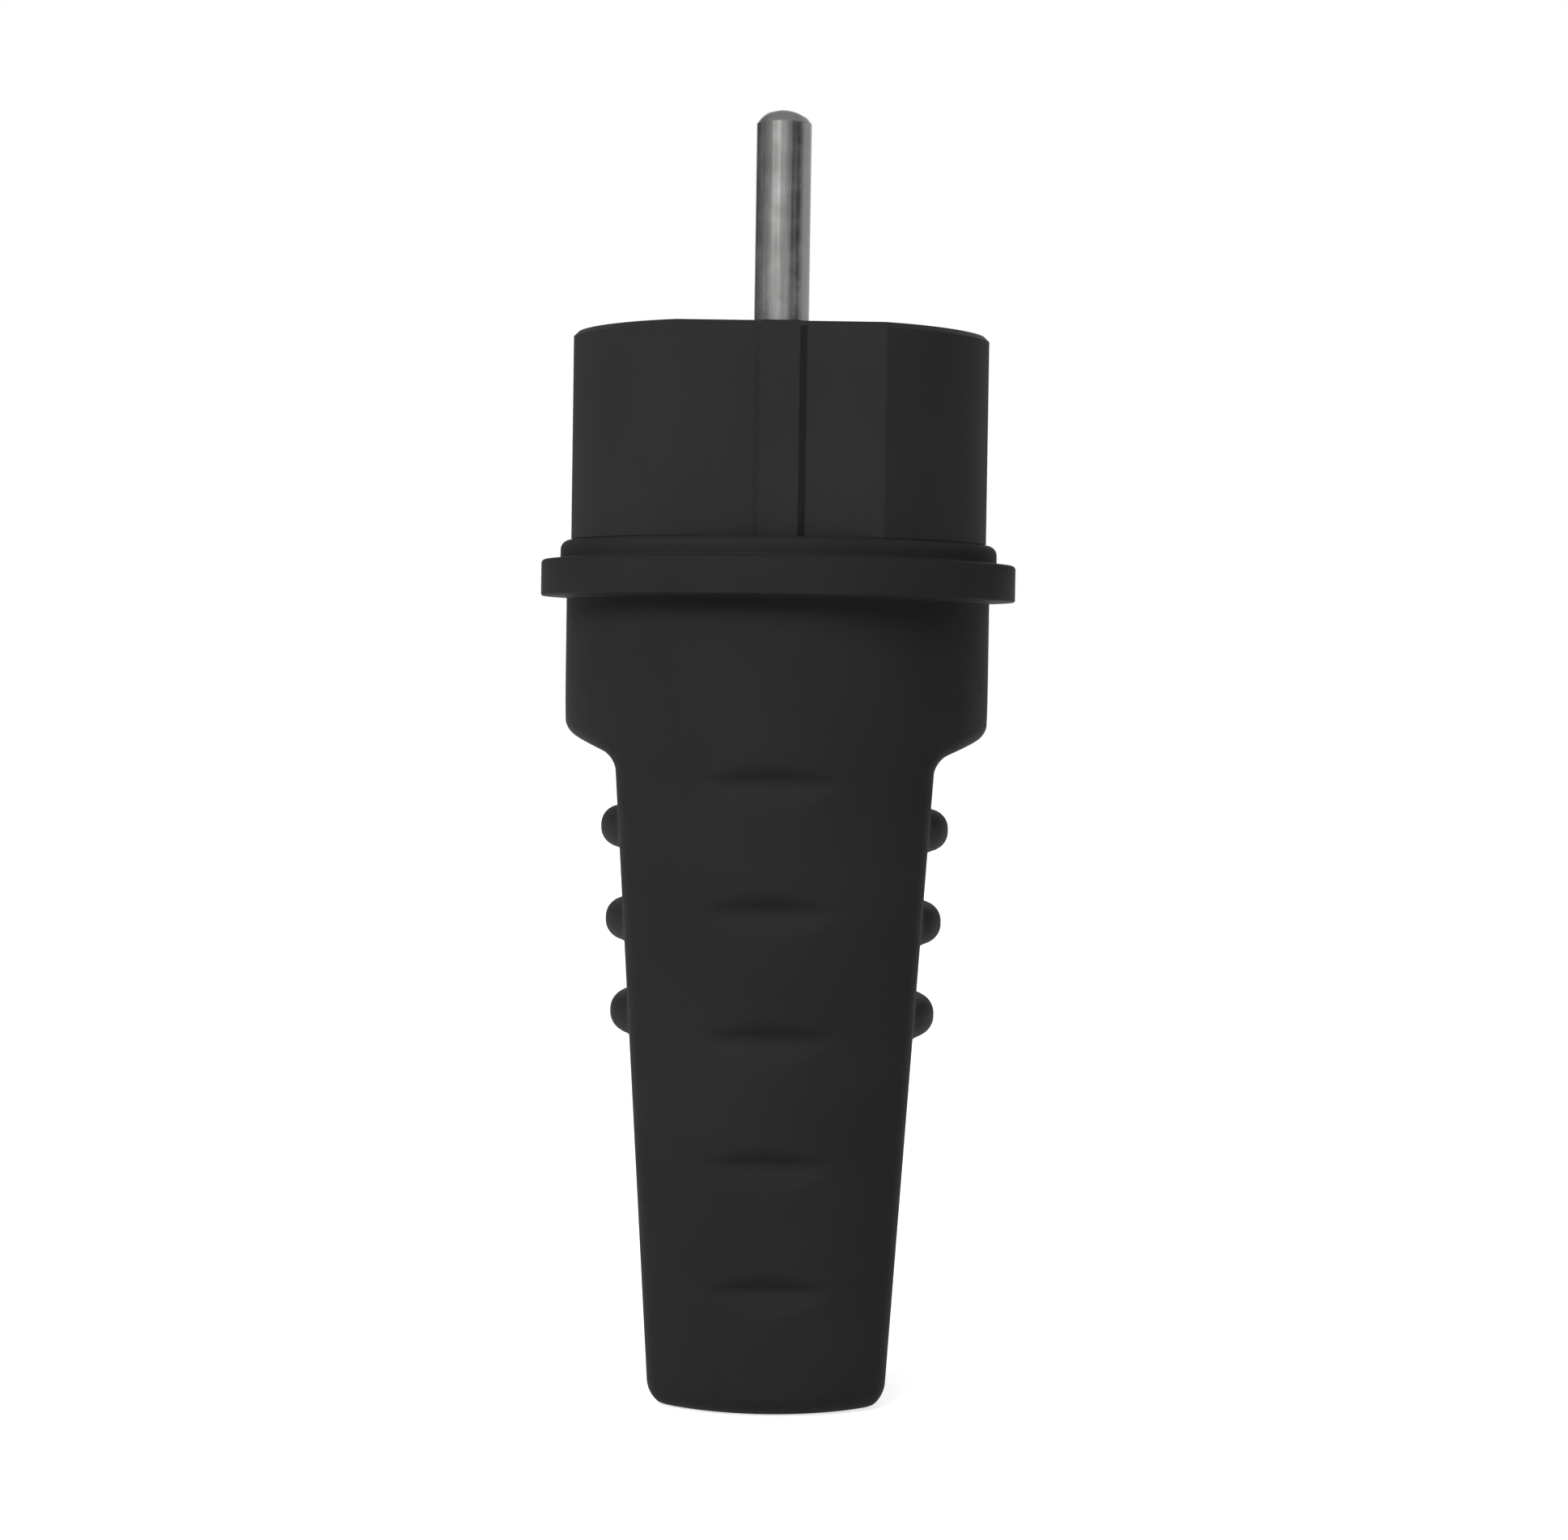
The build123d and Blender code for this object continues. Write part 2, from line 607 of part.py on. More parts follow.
centre_nut.part.label = "centre_nut"
export_step(centre_nut.part, "parts/centre_nut.step")

# Cord clamp: the loose half of the clamp, with a round seat for the cable
with BuildPart() as cord_clamp:
    with BuildSketch(Plane.XY.offset(clamp_z - clamp_height / 2)):
        with Locations((0, -clamp_opening / 2)):
            RectangleRounded(tail_width, 2 * clamp_thickness, clamp_edge_radius)
        Rectangle(reach, clamp_opening, mode=Mode.SUBTRACT)
        with Locations((0, -clamp_opening / 2)):
            Rectangle(reach, reach, align=(Align.CENTER, Align.MIN), mode=Mode.SUBTRACT)
        Circle(cable_seat_diameter / 2, mode=Mode.SUBTRACT)
    extrude(amount=clamp_height)
    with BuildSketch(Plane(origin=(0, -clamp_opening / 2, clamp_z), x_dir=(1, 0, 0), z_dir=(0, -1, 0))):
        with GridLocations(clamp_screw_spacing, 0, 2, 1):
            Circle(clamp_screw_diameter / 2 + close_fit)
    extrude(amount=clamp_thickness, mode=Mode.SUBTRACT)

cord_clamp.part.label = "cord_clamp"
export_step(cord_clamp.part, "parts/cord_clamp.step")

# The clamp's two screws and their hexagon nuts in the tail
for hand, side in (("left", -1), ("right", 1)):
    screw_x = side * clamp_screw_spacing / 2
    screw_place = Plane(origin=(screw_x, -clamp_front_y, clamp_z), x_dir=(0, 0, 1), z_dir=(0, -1, 0))
    piece = screw_place.location * slotted_screw(
        clamp_screw_diameter, clamp_front_y + tail_back_y, clamp_screw_head_diameter, clamp_screw_head_height,
    )
    piece.label = "cord_clamp_screw_" + hand
    export_step(piece, f"parts/cord_clamp_screw_{hand}.step")

    with BuildPart() as clamp_nut:
        with BuildSketch(Plane(origin=(screw_x, tail_back_y, clamp_z), x_dir=(1, 0, 0), z_dir=(0, 1, 0))):
            RegularPolygon(clamp_nut_width / 2, 6, major_radius=False, rotation=30)
            Circle(clamp_screw_diameter / 2 + thread_fit, mode=Mode.SUBTRACT)
        extrude(amount=-clamp_nut_thickness)
    clamp_nut.part.label = "cord_clamp_nut_" + hand
    export_step(clamp_nut.part, f"parts/cord_clamp_nut_{hand}.step")
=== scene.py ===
import json
import math

import bpy
import numpy as np
from mathutils import Matrix, Vector


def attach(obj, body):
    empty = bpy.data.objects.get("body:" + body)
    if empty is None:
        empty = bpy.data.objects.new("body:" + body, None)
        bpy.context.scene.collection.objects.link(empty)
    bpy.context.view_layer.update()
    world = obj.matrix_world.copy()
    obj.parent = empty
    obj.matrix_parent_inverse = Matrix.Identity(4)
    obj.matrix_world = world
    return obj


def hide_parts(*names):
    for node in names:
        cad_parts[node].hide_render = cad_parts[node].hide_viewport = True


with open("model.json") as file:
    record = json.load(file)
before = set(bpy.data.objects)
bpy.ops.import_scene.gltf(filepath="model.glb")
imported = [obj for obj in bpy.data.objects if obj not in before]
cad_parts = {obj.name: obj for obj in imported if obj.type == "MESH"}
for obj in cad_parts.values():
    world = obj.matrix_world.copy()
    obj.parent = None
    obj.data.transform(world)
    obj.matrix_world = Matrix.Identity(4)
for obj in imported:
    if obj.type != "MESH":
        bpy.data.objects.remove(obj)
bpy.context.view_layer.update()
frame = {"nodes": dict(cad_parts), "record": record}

# The scene is in metres and in the frame of the CAD: Z up along the plug, its cable end at the origin.
# Sizes of the plug and the camera are in millimetres, which MM turns into metres.
MM = 0.001

# The photograph's frame, in its own pixels, and the camera that took it
IMAGE_WIDTH = 1938
FOCAL_PIXELS = 4310
CAMERA_PLACE = Vector((1.77, -313.58, 64.68)) * MM
CAMERA_YAW = -0.183      # degrees, positive to the right
CAMERA_PITCH = 1.644     # degrees, downwards
CAMERA_ROLL = 0.860      # degrees, the camera's right side tipped up
SENSOR_WIDTH = 36.0      # millimetres


def make_camera():
    """The photograph's camera, from its place, its direction and its focal length."""
    yaw, pitch, roll = (math.radians(a) for a in (CAMERA_YAW, CAMERA_PITCH, CAMERA_ROLL))
    forward = Vector((
        math.sin(yaw) * math.cos(pitch), math.cos(yaw) * math.cos(pitch), -math.sin(pitch),
    ))
    level_right = forward.cross(Vector((0, 0, 1))).normalized()
    level_up = level_right.cross(forward)
    right = level_right * math.cos(roll) + level_up * math.sin(roll)
    up = level_up * math.cos(roll) - level_right * math.sin(roll)
    data = bpy.data.cameras.new("photo_camera")
    data.sensor_width = SENSOR_WIDTH
    data.lens = FOCAL_PIXELS / IMAGE_WIDTH * SENSOR_WIDTH
    data.clip_start = 0.01
    data.clip_end = 100
    camera = bpy.data.objects.new("photo_camera", data)
    turn = Matrix((right, up, -forward)).transposed().to_4x4()
    camera.matrix_world = Matrix.Translation(CAMERA_PLACE) @ turn
    bpy.context.scene.collection.objects.link(camera)
    bpy.context.scene.camera = camera


class Nodes:
    """A short way to write a node tree: add a node with its settings and link sockets by name."""

    def __init__(self, tree):
        self.tree = tree
        tree.nodes.clear()

    def add(self, kind, inputs=None, **settings):
        node = self.tree.nodes.new(kind)
        for name, value in settings.items():
            setattr(node, name, value)
        for name, value in (inputs or {}).items():
            self.feed(node, name, value)
        return node

    def feed(self, node, name, value):
        if isinstance(value, bpy.types.NodeSocket):
            self.tree.links.new(value, node.inputs[name])
        else:
            node.inputs[name].default_value = value

    def math(self, operation, *values):
        node = self.add("ShaderNodeMath", operation=operation)
        for number, value in enumerate(values):
            self.feed(node, number, value)
        return node.outputs[0]

    def noise(self, vector, scale, detail, roughness=0.5):
        node = self.add(
            "ShaderNodeTexNoise",
            {"Vector": vector, "Scale": scale, "Detail": detail, "Roughness": roughness},
        )
        return node.outputs["Fac"]

    def spread(self, value, low, high, to_low, to_high):
        node = self.add("ShaderNodeMapRange", {
            "Value": value, "From Min": low, "From Max": high, "To Min": to_low, "To Max": to_high,
        })
        return node.outputs["Result"]

    def blend(self, share, first, second):
        """A mix of two colours. The node's socket names repeat, so its sockets go by number."""
        node = self.add("ShaderNodeMix", data_type="RGBA")
        self.feed(node, 0, share)
        self.feed(node, 6, first)
        self.feed(node, 7, second)
        return node.outputs[2]


def grey(level):
    return (level, level, level, 1.0)


def object_place(nodes):
    """Object coordinates, which on every piece are metres in the plug's own frame."""
    return nodes.add("ShaderNodeTexCoord").outputs["Object"]


AMBIENT = 0.42           # the world's light on the object
FLOOR_COLOUR = 0.7
FLOOR_LIFT = 0.74        # brings the lit floor up to the background's white where it is seen
FLOOR_HALF_WIDTH = 20.0  # metres
FLOOR_GAP = 0.02         # millimetres from the plug's foot down to the floor

# What a glossy surface sees of the studio, by the direction round the plug: (share of the turn, strength).
# The turn starts behind the plug, and passes its left side, the camera at 0.5, and its right side. It sees
# the white background behind the plug, and the panels and the dark parts of the room on the other sides.
STUDIO_TURN = (
    (0.00, 1.00), (0.05, 1.00), (0.08, 0.04), (0.22, 0.12), (0.33, 0.14), (0.39, 0.24), (0.48, 0.31),
    (0.54, 0.27), (0.585, 0.06), (0.63, 0.00), (0.70, 0.00), (0.77, 0.34), (0.92, 0.42), (0.95, 1.00),
    (1.00, 1.00),
)

# Where a direction is steep, up or down, it sees one level grey instead: that grey's strength, and the
# upright part of a direction (1 for straight up) where it starts to take over and where it is all
STUDIO_CEILING = 0.26
CEILING_START = 0.35
CEILING_FULL = 0.85


def make_world():
    """A plain white studio: white where it is seen, level on the object, with panels in reflections."""
    world = bpy.data.worlds.new("studio")
    world.use_nodes = True
    nodes = Nodes(world.node_tree)
    path = nodes.add("ShaderNodeLightPath")
    seen = nodes.math("MAXIMUM", path.outputs["Is Camera Ray"], path.outputs["Is Transmission Ray"])
    direction = nodes.add("ShaderNodeTexCoord").outputs["Generated"]
    way = nodes.add("ShaderNodeSeparateXYZ", {"Vector": direction})
    forward = nodes.math("MULTIPLY", way.outputs["Y"], -1.0)
    turn = nodes.spread(nodes.math("ARCTAN2", way.outputs["X"], forward), -math.pi, math.pi, 0.0, 1.0)
    ramp = nodes.add("ShaderNodeValToRGB", {"Fac": turn})
    while len(ramp.color_ramp.elements) < len(STUDIO_TURN):
        ramp.color_ramp.elements.new(0.5)
    for element, (share, strength) in zip(ramp.color_ramp.elements, STUDIO_TURN):
        element.position = share
        element.color = grey(strength)
    upright = nodes.math("ABSOLUTE", way.outputs["Z"])
    steepness = nodes.spread(upright, CEILING_START, CEILING_FULL, 0.0, 1.0)
    studio = nodes.blend(steepness, ramp.outputs["Color"], grey(STUDIO_CEILING))
    panels = nodes.math("MULTIPLY", path.outputs["Is Glossy Ray"], studio)
    lit = nodes.math("MULTIPLY", nodes.math("SUBTRACT", 1.0, path.outputs["Is Glossy Ray"]), AMBIENT)
    unseen = nodes.math("ADD", panels, lit)
    strength = nodes.math("ADD", seen, nodes.math("MULTIPLY", nodes.math("SUBTRACT", 1.0, seen), unseen))
    background = nodes.add("ShaderNodeBackground", {"Color": grey(1.0), "Strength": strength})
    nodes.feed(nodes.add("ShaderNodeOutputWorld"), "Surface", background.outputs[0])
    bpy.context.scene.world = world


def new_material(name):
    """A material with an empty node tree, and the tree's short writer."""
    material = bpy.data.materials.new(name)
    material.use_nodes = True
    return material, Nodes(material.node_tree)


def finish_material(nodes, shader):
    nodes.feed(nodes.add("ShaderNodeOutputMaterial"), "Surface", shader.outputs[0])


def make_floor():
    """A wide pale floor under the plug, which keeps its shadow and meets the white background."""
    half = FLOOR_HALF_WIDTH
    corners = [(-half, -half, 0), (half, -half, 0), (half, half, 0), (-half, half, 0)]
    mesh = bpy.data.meshes.new("floor")
    mesh.from_pydata(corners, [], [(0, 1, 2, 3)])
    floor = bpy.data.objects.new("floor", mesh)
    floor.location.z = -FLOOR_GAP * MM
    bpy.context.scene.collection.objects.link(floor)
    material, nodes = new_material("floor_white")
    path = nodes.add("ShaderNodeLightPath")
    direct = nodes.math("MAXIMUM", path.outputs["Is Camera Ray"], path.outputs["Is Transmission Ray"])
    seen = nodes.math("MAXIMUM", direct, path.outputs["Is Glossy Ray"])
    shader = nodes.add("ShaderNodeBsdfPrincipled", {
        "Base Color": grey(FLOOR_COLOUR), "Roughness": 0.9, "Specular IOR Level": 0.0,
        "Emission Color": grey(1.0), "Emission Strength": nodes.math("MULTIPLY", seen, FLOOR_LIFT),
    })
    finish_material(nodes, shader)
    mesh.materials.append(material)


def area_light(name, place, target, size, power):
    data = bpy.data.lights.new(name, "AREA")
    data.shape = "DISK"
    data.size = size
    data.energy = power
    lamp = bpy.data.objects.new(name, data)
    lamp.location = place
    lamp.rotation_mode = "QUATERNION"
    lamp.rotation_quaternion = (Vector(target) - Vector(place)).to_track_quat("-Z", "Y")
    bpy.context.scene.collection.objects.link(lamp)


def make_lights():
    """A soft key lamp at the upper left, in front of the plug, and a weaker one behind it."""
    target = (0, 0, 0.06)
    area_light("key_light", (-0.40, -0.80, 0.72), target, size=0.6, power=10.1)
    area_light("back_light", (0.06, 1.00, 0.80), target, size=0.6, power=3.2)


# Outside of the rubber moulding, in millimetres. Its radii, distances and heights are the solid's. The slope
# and the roundings are the photograph's, where the solid has small bevels and rounder shoulders.
HOUSING_RADIUS = 18.95
FLANGE_RADIUS = 21.25
LIP_RADIUS = 19.55
LIP_INNER_RADIUS = 17.95
COLLAR_RADIUS = 18.7
NECK_RADIUS = 16.3
END_RADIUS = 14.25
SHOULDER_HEIGHT = 59.1
FLANGE_HEIGHT = 71.0
FLANGE_TOP = 74.25
LIP_TOP = 76.0
COLLAR_FOOT = 72.65
LEDGE_HEIGHT = 59.75
SHOULDER_SLOPE = math.radians(22.0)
SHOULDER_EDGE_HEIGHT = 59.0  # where the slope meets the housing's side in the photograph
SIDE_DISTANCE = 13.9
SIDE_END_DISTANCE = 10.36
SIDE_EDGE = 1.0          # between the flat sides and the round front and back
SHOULDER_EDGE = 0.95     # the same up at the shoulders
SHOULDER_EDGE_START = 4.0    # how far below the shoulders the one starts to become the other
SHOULDER_EDGE_RUN = 3.0      # and over what height
SHOULDER_ROOT = 1.1
END_ROUNDING = 2.1
LIP_ROUNDING = 0.85
LIP_ROOT = 0.35
FLANGE_ROUNDING = 0.35
FLANGE_FOOT_ROUNDING = 0.18
FLANGE_ROOT = 0.25
GRIP_BLEND = 0.32        # how softly the tapering grip runs into the round housing
BLEND_TOP = 63.2         # where that has run out, and plain rings take over

# Finger notches and side ribs. A notch's upper side is the short one.
NOTCH_HEIGHTS = [11.0 * number for number in range(1, 6)]
NOTCH_DEPTH = 1.05
NOTCH_RISE = 1.45
NOTCH_FALL = 2.5
NOTCH_SOFT_EDGE = 0.4    # rounding of a notch's upper edge
NOTCH_CRISP_EDGE = 0.25  # and of its lower edge
NOTCH_VALLEY = 0.5       # how softly its two sides meet
RIB_HEIGHTS = [33.9 + 8.3 * number for number in range(3)]
RIB_HALF_HEIGHT = 1.85
RIB_REACH = 2.1
RIB_ROUNDING = 1.7
RIB_ROOT = 0.45

# Inside of the rubber moulding
BORE_RADIUS = 5.25
BORE_ROUNDING = 0.4
BORE_TOP = 20.0
FUNNEL_RADIUS = 9.0
CHAMBER_FOOT = 30.0
CHAMBER_FOOT_HALF = (9.53, 10.0)
CHAMBER_TOP_HALF = (11.2, 14.0)
CHAMBER_CORNER = 3.0

# The mesh: points round each ring, and in millimetres how far apart the rings are. They are close together
# round the notches, along the ribs and at the shoulders.
ANGLE_STEPS = 256
HALVINGS = 30            # they find where a ray from the axis leaves the moulding
SHARP_ANGLE = math.radians(50)
LOWEST_RING = 0.0004     # a hair above the foot, where a ray still meets the end's rounding
FINE_BELOW_NOTCH = 2.6
FINE_ABOVE_NOTCH = 2.2
FINE_ABOVE_SHOULDER = 2.1
PLAIN_SPACING = 0.5
NOTCH_SPACING = 0.16
RIB_FOOT_SPACING = 0.19  # below the valley that the ribs start at
RIB_SPACING = 0.2
SHOULDER_SPACING = 0.14
BLEND_SPACING = 0.25
HOUSING_SPACING = 1.1


def soft_max(a, b, width):
    """The larger of two distances, eased over a width where they are nearly equal."""
    near = np.maximum(width - np.abs(a - b), 0) / width
    return np.maximum(a, b) + near * near * width / 4


def soft_min(a, b, width):
    """The smaller of two distances, eased in the same way."""
    return -soft_max(-a, -b, width)


def round_both(a, b, radius):
    """Distance to what two shapes have in common, with a round edge between them."""
    outside = np.hypot(np.maximum(a + radius, 0), np.maximum(b + radius, 0))
    return np.minimum(np.maximum(a, b), -radius) + outside


def round_either(a, b, radius):
    """Distance to two shapes joined, with a round root between them."""
    return -round_both(-a, -b, radius)


def grip_side(z):
    """Distance from the axis to the grip's flat side at a height."""
    top = SHOULDER_HEIGHT - (HOUSING_RADIUS - SIDE_DISTANCE) * math.tan(SHOULDER_SLOPE)
    return SIDE_END_DISTANCE + (SIDE_DISTANCE - SIDE_END_DISTANCE) / top * z


def grip_radius(z):
    """Radius of the grip's round front and back at a height."""
    return END_RADIUS + (HOUSING_RADIUS - END_RADIUS) / SHOULDER_HEIGHT * z


def grip_distance(x, y, z):
    """Distance to the outside of the grip and its shoulders: negative inside the rubber."""
    x, y = np.abs(x), np.abs(y)
    radius = np.hypot(x, y)
    shape = soft_max(radius - grip_radius(z), radius - HOUSING_RADIUS, GRIP_BLEND)
    slope = math.tan(SHOULDER_SLOPE)
    under_shoulder = (SHOULDER_EDGE_HEIGHT + (x - HOUSING_RADIUS) * slope - z) * math.cos(SHOULDER_SLOPE)
    sides = round_either(x - grip_side(z), under_shoulder, SHOULDER_ROOT)
    share = np.clip((z - SHOULDER_HEIGHT + SHOULDER_EDGE_START) / SHOULDER_EDGE_RUN, 0, 1)
    shape = round_both(shape, sides, SIDE_EDGE + (SHOULDER_EDGE - SIDE_EDGE) * share)
    for valley in NOTCH_HEIGHTS:
        depth = y - (grip_radius(valley) - NOTCH_DEPTH)
        above, below = z - valley, valley - z
        upper = (depth - above * NOTCH_DEPTH / NOTCH_RISE) / math.hypot(1, NOTCH_DEPTH / NOTCH_RISE)
        lower = (depth - below * NOTCH_DEPTH / NOTCH_FALL) / math.hypot(1, NOTCH_DEPTH / NOTCH_FALL)
        edge = np.where(above > 0, NOTCH_SOFT_EDGE, NOTCH_CRISP_EDGE)
        shape = soft_max(shape, soft_min(upper, lower, NOTCH_VALLEY), edge)
    for height in RIB_HEIGHTS:
        outer = radius - grip_side(height) - RIB_REACH
        rib = round_both(outer, np.abs(z - height) - RIB_HALF_HEIGHT, RIB_ROUNDING)
        shape = round_either(shape, rib, RIB_ROOT)
    return round_both(shape, -z, END_ROUNDING)


def ring_radii(cosines, sines, z):
    """Where the rays from the axis leave the grip at each height, found by halving."""
    low = np.full(np.broadcast(cosines, z).shape, BORE_RADIUS)
    high = np.full(low.shape, FLANGE_RADIUS)
    for _ in range(HALVINGS):
        middle = (low + high) / 2
        inside = grip_distance(middle * cosines, middle * sines, z) < 0
        low = np.where(inside, middle, low)
        high = np.where(inside, high, middle)
    return (low + high) / 2


def steps(start, end, size):
    """Evenly spaced heights from start up to, but without, end."""
    count = max(1, round((end - start) / size))
    return [start + (end - start) * number / count for number in range(count)]


def grip_heights():
    """Heights of the grip's rings: close together where the form turns, further apart where it is plain."""
    quarter = [END_ROUNDING * (1 - math.cos(math.pi / 2 * number / 10)) for number in range(10)]
    quarter[0] = LOWEST_RING
    heights = quarter
    first, second, third, fourth, fifth = NOTCH_HEIGHTS
    start = END_ROUNDING
    for valley in (first, second):
        heights += steps(start, valley - FINE_BELOW_NOTCH, PLAIN_SPACING)
        heights += steps(valley - FINE_BELOW_NOTCH, valley, NOTCH_SPACING)
        start = valley + FINE_ABOVE_NOTCH
        heights += steps(valley, start, NOTCH_SPACING)
    heights += steps(start, third - FINE_BELOW_NOTCH, PLAIN_SPACING)
    heights += steps(third - FINE_BELOW_NOTCH, third, RIB_FOOT_SPACING)
    shoulders = fifth + FINE_ABOVE_NOTCH
    for low, high in ((third, fourth), (fourth, fifth), (fifth, shoulders)):
        heights += steps(low, high, RIB_SPACING)
    blend = SHOULDER_HEIGHT + FINE_ABOVE_SHOULDER
    return heights + steps(shoulders, blend, SHOULDER_SPACING) + steps(blend, BLEND_TOP, BLEND_SPACING)


def arc(centre_r, centre_z, radius, start, end, count=7):
    """Points (r, z) of an arc, its angles in degrees from the outward direction."""
    turn = [math.radians(start + (end - start) * number / (count - 1)) for number in range(count)]
    return [(centre_r + radius * math.cos(a), centre_z + radius * math.sin(a)) for a in turn]


def round_profile():
    """The round part of the moulding, from the housing up over the flange and the lip and down the seat."""
    points = [(HOUSING_RADIUS, z) for z in steps(BLEND_TOP, FLANGE_HEIGHT - FLANGE_ROOT, HOUSING_SPACING)]
    points += arc(HOUSING_RADIUS + FLANGE_ROOT, FLANGE_HEIGHT - FLANGE_ROOT, FLANGE_ROOT, 180, 90)
    foot = FLANGE_FOOT_ROUNDING
    points += arc(FLANGE_RADIUS - foot, FLANGE_HEIGHT + foot, foot, -90, 0)
    points += arc(FLANGE_RADIUS - FLANGE_ROUNDING, FLANGE_TOP - FLANGE_ROUNDING, FLANGE_ROUNDING, 0, 90)
    points += arc(LIP_RADIUS + LIP_ROOT, FLANGE_TOP + LIP_ROOT, LIP_ROOT, 270, 180)
    points += arc(LIP_RADIUS - LIP_ROUNDING, LIP_TOP - LIP_ROUNDING, LIP_ROUNDING, 0, 90, count=9)
    points += [(LIP_INNER_RADIUS, LIP_TOP), (LIP_INNER_RADIUS, FLANGE_TOP), (COLLAR_RADIUS, FLANGE_TOP)]
    points += [(COLLAR_RADIUS, COLLAR_FOOT), (NECK_RADIUS, COLLAR_FOOT), (NECK_RADIUS, LEDGE_HEIGHT)]
    return points


def rounded_oblong(cosines, sines, half, corner):
    """Radii of an oblong with round corners, seen from its middle."""
    low, high = np.zeros(cosines.shape), np.full(cosines.shape, sum(half))
    for _ in range(HALVINGS):
        middle = (low + high) / 2
        x = np.abs(middle * cosines) - half[0]
        y = np.abs(middle * sines) - half[1]
        inside = round_both(x, y, corner) < 0
        low, high = np.where(inside, middle, low), np.where(inside, high, middle)
    return (low + high) / 2


def closed_mesh(name, rings):
    """A mesh from rings of points, each ring joined to the next and the last to the first."""
    count = len(rings[0])
    points = [tuple(point) for ring in rings for point in ring]
    faces = []
    for ring in range(len(rings)):
        following = (ring + 1) % len(rings)
        for step in range(count):
            turned = (step + 1) % count
            faces.append((
                ring * count + step, ring * count + turned,
                following * count + turned, following * count + step,
            ))
    mesh = bpy.data.meshes.new(name)
    mesh.from_pydata(points, [], faces)
    mesh.update()
    mesh.shade_smooth()
    mesh.set_sharp_from_angle(angle=SHARP_ANGLE)
    piece = bpy.data.objects.new(name, mesh)
    bpy.context.scene.collection.objects.link(piece)
    return piece


def make_moulding(material):
    """The whole rubber moulding as one closed mesh of rings round the axis."""
    turn = np.arange(ANGLE_STEPS) * (2 * math.pi / ANGLE_STEPS)
    cosines, sines = np.cos(turn), np.sin(turn)
    ones = np.ones(ANGLE_STEPS)
    heights = np.array(grip_heights())[:, None]
    radii = ring_radii(cosines[None, :], sines[None, :], heights)
    layers = [(radii[number], float(height)) for number, height in enumerate(heights[:, 0])]
    layers += [(ones * r, z) for r, z in round_profile()]
    layers.append((rounded_oblong(cosines, sines, CHAMBER_TOP_HALF, CHAMBER_CORNER), LEDGE_HEIGHT))
    layers.append((rounded_oblong(cosines, sines, CHAMBER_FOOT_HALF, CHAMBER_CORNER), CHAMBER_FOOT))
    layers += [(ones * FUNNEL_RADIUS, CHAMBER_FOOT), (ones * BORE_RADIUS, BORE_TOP)]
    edge = arc(BORE_RADIUS + BORE_ROUNDING, BORE_ROUNDING, BORE_ROUNDING, 180, 270)
    layers += [(ones * r, z) for r, z in edge]
    rings = [np.stack([r * cosines, r * sines, z * ones], axis=1) * MM for r, z in layers]
    piece = closed_mesh("rubber_moulding", rings)
    piece.data.materials.append(material)
    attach(piece, "root")
    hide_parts("rubber_housing")


def rubber_material():
    """Matt black rubber with a fine moulded grain, faint flow clouds and a little rubbed gloss."""
    material, nodes = new_material("rubber")
    place = object_place(nodes)
    cloud = nodes.noise(place, 70.0, detail=3.0)
    grain = nodes.noise(place, 5200.0, detail=2.0)
    rubbed = nodes.noise(place, 160.0, detail=5.0, roughness=0.6)
    colour = nodes.blend(nodes.spread(cloud, 0.3, 0.7, 0.0, 1.0), grey(0.0172), grey(0.0208))
    matt = nodes.spread(grain, 0.3, 0.7, 0.60, 0.70)
    roughness = nodes.math("ADD", matt, nodes.spread(rubbed, 0.3, 0.7, -0.03, 0.05))
    bump = nodes.add("ShaderNodeBump", {"Strength": 0.3, "Distance": 0.02 * MM, "Height": grain})
    shader = nodes.add("ShaderNodeBsdfPrincipled", {
        "Base Color": colour, "Roughness": roughness, "Specular IOR Level": 0.05, "Normal": bump.outputs[0],
    })
    finish_material(nodes, shader)
    return material


def plastic_material(name, dark, light, edge_radius):
    """Moulded black plastic: satin, faintly mottled, with its sharp edges softened."""
    material, nodes = new_material(name)
    place = object_place(nodes)
    cloud = nodes.noise(place, 120.0, detail=4.0)
    grain = nodes.noise(place, 3600.0, detail=3.0)
    colour = nodes.blend(nodes.spread(cloud, 0.3, 0.7, 0.0, 1.0), grey(dark), grey(light))
    roughness = nodes.spread(cloud, 0.3, 0.7, 0.50, 0.60)
    edges = nodes.add("ShaderNodeBevel", {"Radius": edge_radius}, samples=6)
    bump = nodes.add("ShaderNodeBump", {
        "Strength": 0.2, "Distance": 0.01 * MM, "Height": grain, "Normal": edges.outputs[0],
    })
    shader = nodes.add("ShaderNodeBsdfPrincipled", {
        "Base Color": colour, "Roughness": roughness, "Specular IOR Level": 0.07, "Normal": bump.outputs[0],
    })
    finish_material(nodes, shader)
    return material


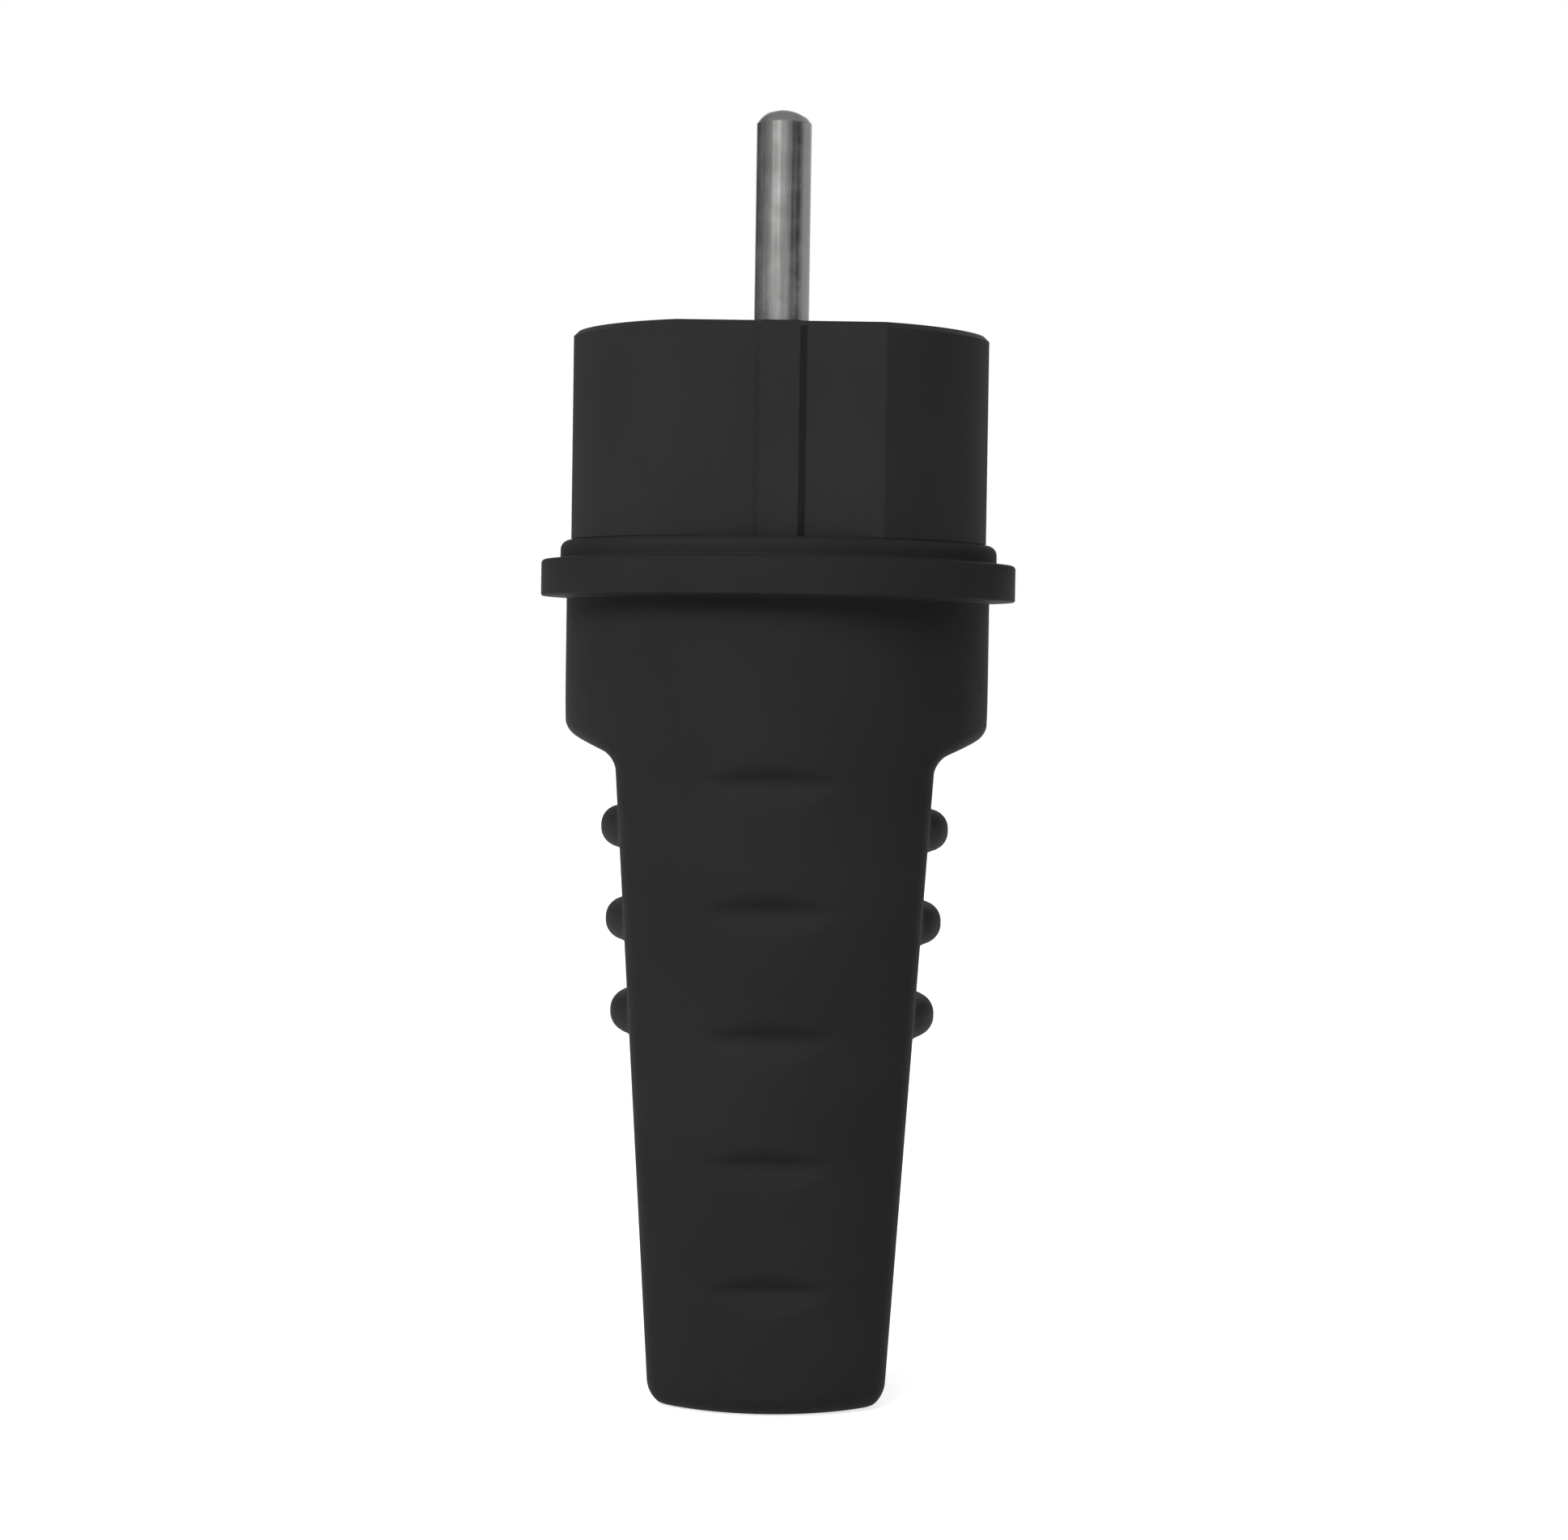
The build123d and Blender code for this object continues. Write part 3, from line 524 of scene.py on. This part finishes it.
def nickel_material(name, stretch, tint):
    """Nickel plate over drawn brass: fine lines along one direction, small scratches and dull patches."""
    material, nodes = new_material(name)
    place = object_place(nodes)
    mapped = nodes.add("ShaderNodeMapping", {"Vector": place, "Scale": stretch})
    lines = nodes.noise(mapped.outputs[0], 1.0, detail=3.0, roughness=0.6)
    wide_stretch = tuple(scale * 0.25 for scale in stretch)
    wide = nodes.add("ShaderNodeMapping", {"Vector": place, "Scale": wide_stretch})
    bands = nodes.noise(wide.outputs[0], 1.0, detail=2.0)
    dull = nodes.noise(place, 420.0, detail=4.0)
    share = nodes.spread(nodes.math("ADD", lines, bands), 0.7, 1.3, 0.0, 1.0)
    dark = tuple(part * 0.9 for part in tint[:3]) + (1.0,)
    colour = nodes.blend(share, dark, tint)
    drawn = nodes.spread(lines, 0.3, 0.7, 0.19, 0.25)
    roughness = nodes.math("ADD", drawn, nodes.spread(dull, 0.4, 0.7, 0.0, 0.06))
    bump = nodes.add("ShaderNodeBump", {"Strength": 0.2, "Distance": 0.003 * MM, "Height": lines})
    shader = nodes.add("ShaderNodeBsdfPrincipled", {
        "Base Color": colour, "Metallic": 1.0, "Roughness": roughness, "Normal": bump.outputs[0],
    })
    finish_material(nodes, shader)
    return material


def metal_material(name, dark, light, roughness_range, grain_scale):
    """Turned or plated metal with a fine grain and patches of tarnish."""
    material, nodes = new_material(name)
    place = object_place(nodes)
    grain = nodes.noise(place, grain_scale, detail=3.0)
    tarnish = nodes.noise(place, 260.0, detail=5.0, roughness=0.6)
    colour = nodes.blend(nodes.spread(tarnish, 0.35, 0.7, 0.0, 1.0), light, dark)
    roughness = nodes.spread(tarnish, 0.3, 0.7, *roughness_range)
    bump = nodes.add("ShaderNodeBump", {"Strength": 0.3, "Distance": 0.01 * MM, "Height": grain})
    shader = nodes.add("ShaderNodeBsdfPrincipled", {
        "Base Color": colour, "Metallic": 1.0, "Roughness": roughness, "Normal": bump.outputs[0],
    })
    finish_material(nodes, shader)
    return material


def make_materials():
    """The material of each slot that the record names."""
    return {
        "rubber": rubber_material(),
        "carrier_plastic": plastic_material("carrier_plastic", 0.0195, 0.0230, edge_radius=0.12 * MM),
        "inner_plastic": plastic_material("inner_plastic", 0.03, 0.038, edge_radius=0.2 * MM),
        "plated_pin": nickel_material(
            "plated_pin", stretch=(3800.0, 3800.0, 45.0), tint=(0.62, 0.615, 0.605, 1.0),
        ),
        "plated_strip": nickel_material(
            "plated_strip", stretch=(300.0, 3200.0, 40.0), tint=(0.66, 0.65, 0.635, 1.0),
        ),
        "bare_brass": metal_material(
            "bare_brass", dark=(0.50, 0.33, 0.13, 1.0), light=(0.78, 0.57, 0.26, 1.0),
            roughness_range=(0.22, 0.42), grain_scale=2600.0,
        ),
        "zinc_steel": metal_material(
            "zinc_steel", dark=(0.40, 0.40, 0.39, 1.0), light=(0.62, 0.63, 0.65, 1.0),
            roughness_range=(0.25, 0.45), grain_scale=3000.0,
        ),
    }


def dress_solids(materials):
    """Gives each solid of the CAD the material of its slot."""
    slots = {part["node"]: part["material_slot"] for part in frame["record"]["subparts"]}
    for name, node in frame["nodes"].items():
        node.data.materials.clear()
        node.data.materials.append(materials[slots[name]])


bpy.context.scene.view_settings.view_transform = "Standard"
make_camera()
make_world()
make_floor()
make_lights()
materials = make_materials()
dress_solids(materials)
make_moulding(materials["rubber"])
